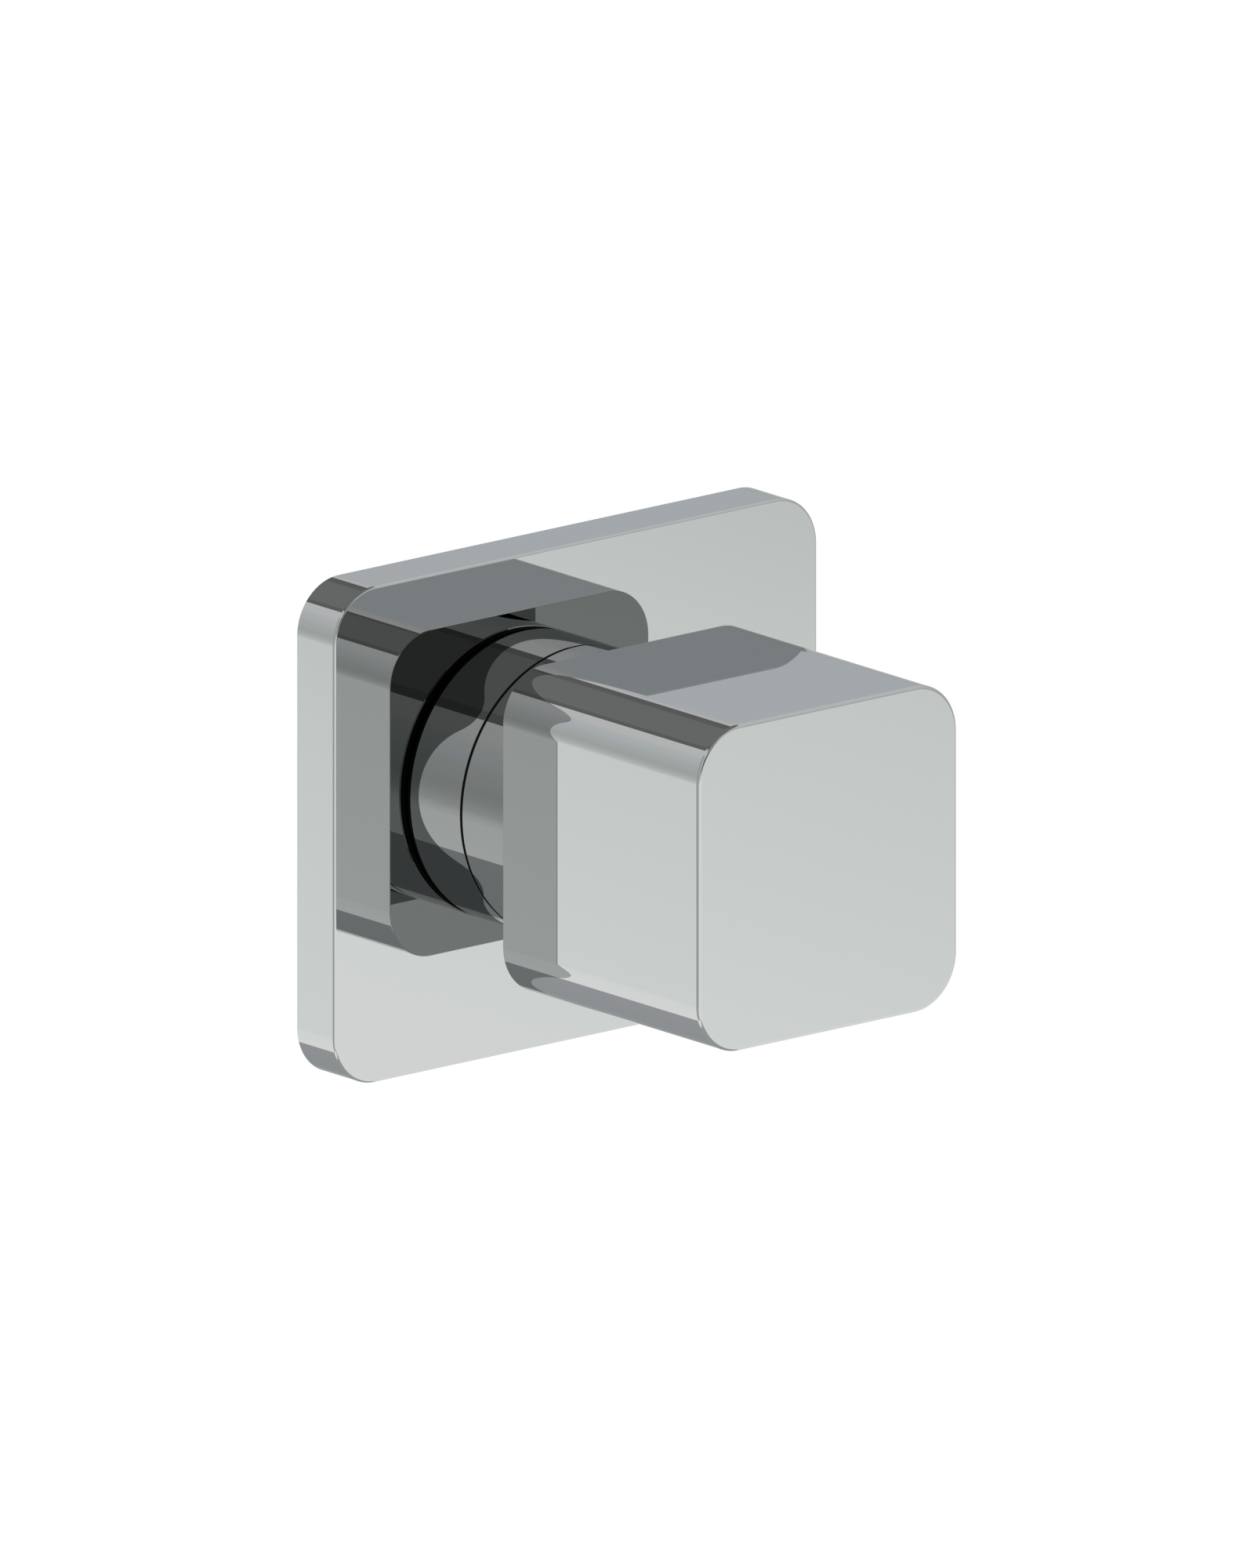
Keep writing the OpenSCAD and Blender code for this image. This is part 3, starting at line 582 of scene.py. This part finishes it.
# Brass, turned: warm and half bright, crossed by fine rings that the cutting tool leaves all
# round. The real marks are 0.05 mm apart; they are drawn 0.2 mm apart so that they show.
tool_mark, mark_depth, tarnish_patch, brass_gloss = 0.2 * MM, 0.006 * MM, 6 * MM, (0.2, 0.36)
turned_brass = bpy.data.materials.new("turned_brass")
tree = new_tree(turned_brass)
place = add_node(tree, "ShaderNodeTexCoord", {})
split = add_node(tree, "ShaderNodeSeparateXYZ", {"Vector": place.outputs["Object"]})
across = add_node(tree, "ShaderNodeCombineXYZ", {"X": split.outputs["X"], "Y": split.outputs["Z"]})
from_axis = add_node(tree, "ShaderNodeVectorMath", {
    "Vector": across.outputs["Vector"]}, operation="LENGTH")
section = add_node(tree, "ShaderNodeCombineXYZ", {
    "X": from_axis.outputs["Value"], "Y": split.outputs["Y"]})
marks = add_node(tree, "ShaderNodeTexNoise", {
    "Vector": section.outputs["Vector"], "Scale": 1 / tool_mark, "Detail": 2})
tarnish = add_node(tree, "ShaderNodeTexNoise", {
    "Vector": place.outputs["Object"], "Scale": 1 / tarnish_patch, "Detail": 3})
shade = add_node(tree, "ShaderNodeMixRGB", {
    "Fac": tarnish.outputs["Fac"], "Color1": srgb("#DCC287"), "Color2": srgb("#CDB070")})
gloss = add_node(tree, "ShaderNodeMapRange", {
    "Value": marks.outputs["Fac"], "From Min": noise_low, "From Max": noise_high,
    "To Min": brass_gloss[0], "To Max": brass_gloss[1]})
skin = add_node(tree, "ShaderNodeBump", {
    "Height": marks.outputs["Fac"], "Distance": mark_depth, "Strength": 1})
shader = add_node(tree, "ShaderNodeBsdfPrincipled", {
    "Base Color": shade.outputs["Color"], "Metallic": 1, "Roughness": gloss.outputs["Result"],
    "Normal": skin.outputs["Normal"]})
add_node(tree, "ShaderNodeOutputMaterial", {"Surface": shader.outputs["BSDF"]})
fit(valve_adapter, "valve_adapter", "wall_side", "brass", turned_brass)


# Guide bush and its retaining ring. The bush is turned from white acetal and steadies the stem
# in the adapter. The open ring, stamped from spring steel, snaps into a groove in front of it.

# Natural acetal, turned: milky white and waxy, a little duller where the tool has dragged
white_acetal = new_moulding(
    "turned_white_acetal", "#E9E7E0", "#E3E1D9", roughness=(0.35, 0.5), place_scale=0.3 * MM,
    bump=0.003 * MM)
dress(white_acetal, "guide_bush")

# Stainless spring steel, rolled and tumbled: darker and less bright than a turned surface
spring_steel = new_metal(
    "stainless_spring_steel", "#A19F9B", roughness=(0.3, 0.42), place_scale=0.15 * MM,
    bump=0.004 * MM)
dress(spring_steel, "retaining_ring", "lock_washer")


# Stem extension and handle adapter. Both are turned from brass bar. The extension's toothed
# front end, 20 teeth, fits the handle adapter's toothed bore, so the knob can be set in steps.
dress(turned_brass, "stem_extension", "handle_adapter")


# Stem screw. A stainless steel cap screw, M4 with a 20 mm thread, that holds handle adapter
# and stem extension on the valve's spindle. The spring washer is under its head.
stem_screw_low, stem_screw_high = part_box("stem_screw")
tip, head_top = -stem_screw_high.y, -stem_screw_low.y
shank_radius, head_radius, stem_head_back = 1.95 * MM, 3.5 * MM, 33.7 * MM
tip_chamfer, neck, head_bevel, thread_run = 0.5 * MM, 0.1 * MM, 0.35 * MM, 20 * MM
metric_pitch, metric_depth = 0.7 * MM, 0.4 * MM
knurl_depth, knurl_count, knurl_start = 0.14 * MM, 24, 0.3 * MM
stem_screw = turned("cap_screw", [
    (shank_radius - tip_chamfer, tip), (shank_radius - neck, tip + tip_chamfer),
    *thread_rings(shank_radius, tip + tip_chamfer, tip + thread_run, metric_pitch),
    (shank_radius, stem_head_back), (head_radius - head_bevel / 2, stem_head_back),
    (head_radius, stem_head_back + knurl_start),
    (head_radius, head_top - head_bevel - knurl_start),
    (head_radius - head_bevel / 2, head_top - head_bevel),
    (head_radius - head_bevel, head_top)], sides=72, solid=True)
cut_thread(stem_screw, shank_radius, tip + tip_chamfer, tip + thread_run, metric_pitch,
           metric_depth)
for vertex in stem_screw.data.vertices:
    x, z = vertex.co.x, vertex.co.z
    if abs(hypot(x, z) - head_radius) < same_place:
        grow = 1 - knurl_depth * (0.5 - 0.5 * cos(knurl_count * atan2(z, x))) / head_radius
        vertex.co.x, vertex.co.z = x * grow, z * grow
key_radius, key_depth = 1.75 * MM, 2.4 * MM
cut_with(stem_screw, rod("key", key_radius, head_top - key_depth, head_top + overrun, sides=6))
smooth(stem_screw)

# Stainless steel, cold headed and thread rolled: light and warm grey, half bright
stainless_steel = new_metal(
    "bright_stainless_steel", "#BDBBB6", roughness=(0.2, 0.34), place_scale=0.25 * MM,
    bump=0.004 * MM)
fit(stem_screw, "stem_screw", "knob", "steel", stainless_steel)


# Knob. Cast brass, polished and chromium plated, bored from behind for the hub insert. Three
# posts in the pocket take the insert's screws, and a hole below leads to the grub screw.
knob_low, knob_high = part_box("knob_body")
knob_corner, knob_edge, knob_back_edge = 7.2 * MM, 0.5 * MM, 0.1 * MM
pocket_radius, pocket_floor, post_radius, post_end = 17 * MM, 55.4 * MM, 2.6 * MM, 42 * MM
screw_circle, post_hole_radius, post_hole_depth = 12.375 * MM, 1.25 * MM, 7 * MM
post_turns = [radians(turn) for turn in (90, 210, 330)]
knob = round_block("knob_shell", knob_low, knob_high, knob_corner, steps=32)
round_rim(knob, knob_low.y, knob_edge, steps=6)
round_rim(knob, knob_high.y, knob_back_edge, steps=3)
pocket = rod("pocket", pocket_radius, -knob_high.y - overrun, pocket_floor, sides=160)
post_places = [(screw_circle * cos(turn), screw_circle * sin(turn)) for turn in post_turns]
for post_place in post_places:
    post = rod("post", post_radius, post_end, pocket_floor + overrun, sides=40, centre=post_place)
    cut_with(post, rod("post_hole", post_hole_radius, post_end - overrun,
                       post_end + post_hole_depth, sides=24, centre=post_place))
    cut_with(pocket, post)
cut_with(knob, pocket)
plug_hole, plug_hole_depth = 3 * MM, 3.3 * MM
screw_hole, screw_hole_depth, screw_place = 2.5 * MM, 8.5 * MM, 28 * MM


def turn_upright(piece, foot):
    """Stands a piece made along the y axis on a foot, so that it points up along z."""
    piece.rotation_euler = (-pi / 2, 0, 0)
    piece.location = foot
    select_only(piece)
    return bake_place(piece, piece.name)


below_knob = Vector((0, -screw_place, knob_low.z))
for hole_name, radius_below, hole_depth in (
        ("plug_hole", plug_hole, plug_hole_depth), ("screw_hole", screw_hole, screw_hole_depth)):
    drill = rod(hole_name, radius_below, -overrun, hole_depth, sides=64)
    cut_with(knob, turn_upright(drill, below_knob))
smooth(knob)
fit(knob, "knob_body", "knob", "chrome", polished_chrome, frosted_chrome)
# Faces in the pocket, and only those, are bored and frosted
for face in knob.data.polygons:
    across = hypot(face.center.x, face.center.z)
    behind_front = face.center.y > knob_low.y + knob_edge + skin_play
    in_pocket = across < pocket_radius + skin_play and face.center.y < knob_high.y - skin_play
    face.material_index = int(behind_front and in_pocket)


# Hub insert. Injection moulded from glass-filled nylon. Its ring fills the mouth of the knob's
# pocket, its hub slides on the handle adapter, and its spigot turns in the glide ring.

# Glass-filled nylon, moulded: dark grey and dull, clouded where the glass lies near the skin
filled_nylon = new_moulding(
    "moulded_glass_filled_nylon", "#32353A", "#3F4347", roughness=(0.45, 0.62),
    place_scale=0.35 * MM, bump=0.008 * MM)
dress(filled_nylon, "hub_insert")


# Insert screws. Three stainless M2.5 pan head screws with a cross recess, driven from behind
# through the insert's web into the knob's posts. One is modelled, and the others are copies.
insert_web_back, insert_tip, insert_shank, insert_head = 39 * MM, 48 * MM, 1.2 * MM, 2.25 * MM
insert_head_height, insert_pitch, insert_thread_depth = 2.1 * MM, 0.45 * MM, 0.27 * MM
crown_steps, crown_height, insert_head_back = 5, 0.9 * MM, insert_web_back - insert_head_height
cross_length, cross_width, cross_depth = 2.475 * MM, 0.7 * MM, 1.2 * MM
crown_turns = [pi / 2 * i / crown_steps for i in range(1, crown_steps + 1)]
crown = [(insert_head * sin(turn), insert_head_back + crown_height * (1 - cos(turn)))
         for turn in crown_turns]
thread_back, thread_end = insert_web_back + insert_pitch, insert_tip - insert_pitch
insert_screw = turned("insert_screw_1", [
    *crown, (insert_head, insert_web_back), (insert_shank, insert_web_back),
    *thread_rings(insert_shank, thread_back, thread_end, insert_pitch),
    (insert_shank - insert_thread_depth, insert_tip)], sides=40, solid=True)
cut_thread(insert_screw, insert_shank, thread_back, thread_end, insert_pitch, insert_thread_depth)
driver_size = (cross_length, 2 * cross_depth, cross_width)
for driver_turn in (0, pi / 2):
    driver = new_box("driver", (0, -insert_head_back, 0), driver_size, driver_turn)
    cut_with(insert_screw, driver)
smooth(insert_screw)
insert_screws = [insert_screw]
for number in (2, 3):
    copy = bpy.data.objects.new(f"insert_screw_{number}", insert_screw.data.copy())
    bpy.context.scene.collection.objects.link(copy)
    insert_screws.append(copy)
for screw, (place_x, place_z) in zip(insert_screws, post_places):
    for vertex in screw.data.vertices:
        vertex.co.x += place_x
        vertex.co.z += place_z
    fit(screw, "insert_screws", "knob", "steel", stainless_steel)


# Grub screw. An M5 stainless set screw with a hexagon socket, turned in from below the knob.
# Its cone point bears in the handle adapter's groove and keeps the knob on.
grub_low, grub_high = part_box("grub_screw")
grub_length, grub_radius, grub_tip = grub_high.z - grub_low.z, 2.45 * MM, 0.9 * MM
grub_pitch, grub_thread_depth, grub_cone = 0.8 * MM, 0.45 * MM, 1.4 * MM
grub_key, grub_key_depth, cone_start = 1.45 * MM, 3 * MM, grub_length - grub_cone
grub_screw = turned("set_screw", [
    (grub_radius - grub_thread_depth, 0),
    *thread_rings(grub_radius, grub_thread_depth, cone_start, grub_pitch),
    (grub_tip, grub_length)], sides=56, solid=True)
cut_thread(grub_screw, grub_radius, grub_thread_depth, cone_start, grub_pitch, grub_thread_depth)
cut_with(grub_screw, rod("key", grub_key, -overrun, grub_key_depth, sides=6))
turn_upright(grub_screw, Vector((0, -screw_place, grub_low.z)))
smooth(grub_screw)
fit(grub_screw, "grub_screw", "knob", "steel", stainless_steel)


# Screw plug. A turned brass cap, polished and chromium plated like the knob. It is pushed into
# the hole below the knob, where it hides the grub screw.
plug_low, plug_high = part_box("screw_plug")
plug_radius, plug_length = 2.95 * MM, plug_high.z - plug_low.z
plug_wall, plug_edge, edge_steps = 0.9 * MM, 0.2 * MM, 4
edge_turns = [pi / 2 * i / edge_steps for i in range(edge_steps + 1)]
rounded_edge = [(plug_radius - plug_edge * (1 - sin(turn)), plug_edge * (1 - cos(turn)))
                for turn in edge_turns]
screw_plug = turned("plug_cap", [
    *rounded_edge, (plug_radius, plug_length), (plug_radius - plug_wall, plug_length),
    (plug_radius - plug_wall, plug_wall)], sides=96, solid=True)
turn_upright(screw_plug, below_knob)
smooth(screw_plug)
fit(screw_plug, "screw_plug", "knob", "chrome", polished_chrome)
